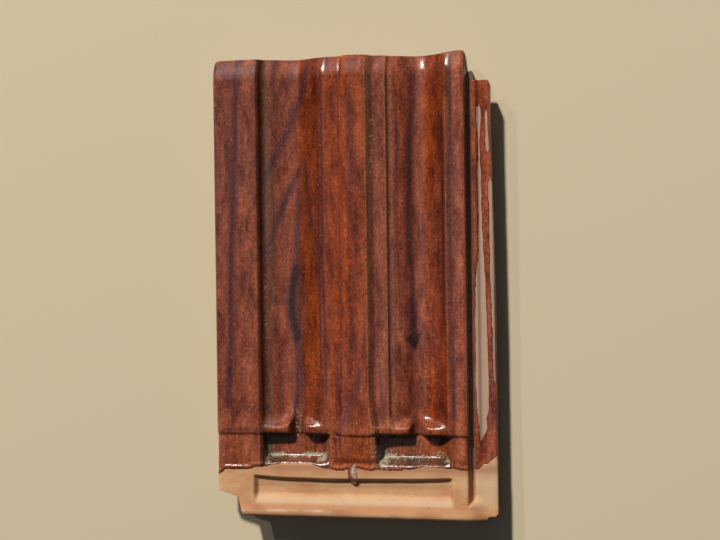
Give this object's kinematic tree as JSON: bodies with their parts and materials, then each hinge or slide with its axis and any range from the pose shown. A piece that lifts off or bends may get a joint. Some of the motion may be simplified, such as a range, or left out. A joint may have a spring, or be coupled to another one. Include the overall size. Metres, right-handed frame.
{
  "type": "interlocking roof tile",
  "caption": "Flat interlocking clay roof tile with raised bands, two pans, a side lock flange, a notched bare head and a brown glaze.",
  "frame": {"origin": "middle of the bounding box, on the plane that the tile's feet stand on", "axes": "+X across the tile towards the lock flange, +Y along the tile towards its tail, the lower end on a roof, +Z out of the glazed face"},
  "size_m": [0.26, 0.425, 0.04],
  "materials": {
    "brown_glaze": "glossy brown glaze on the face, bare buff fired clay at the head and underneath"
  },
  "bodies": {
    "root": {"tile": "brown_glaze"}
  },
  "joints": []
}
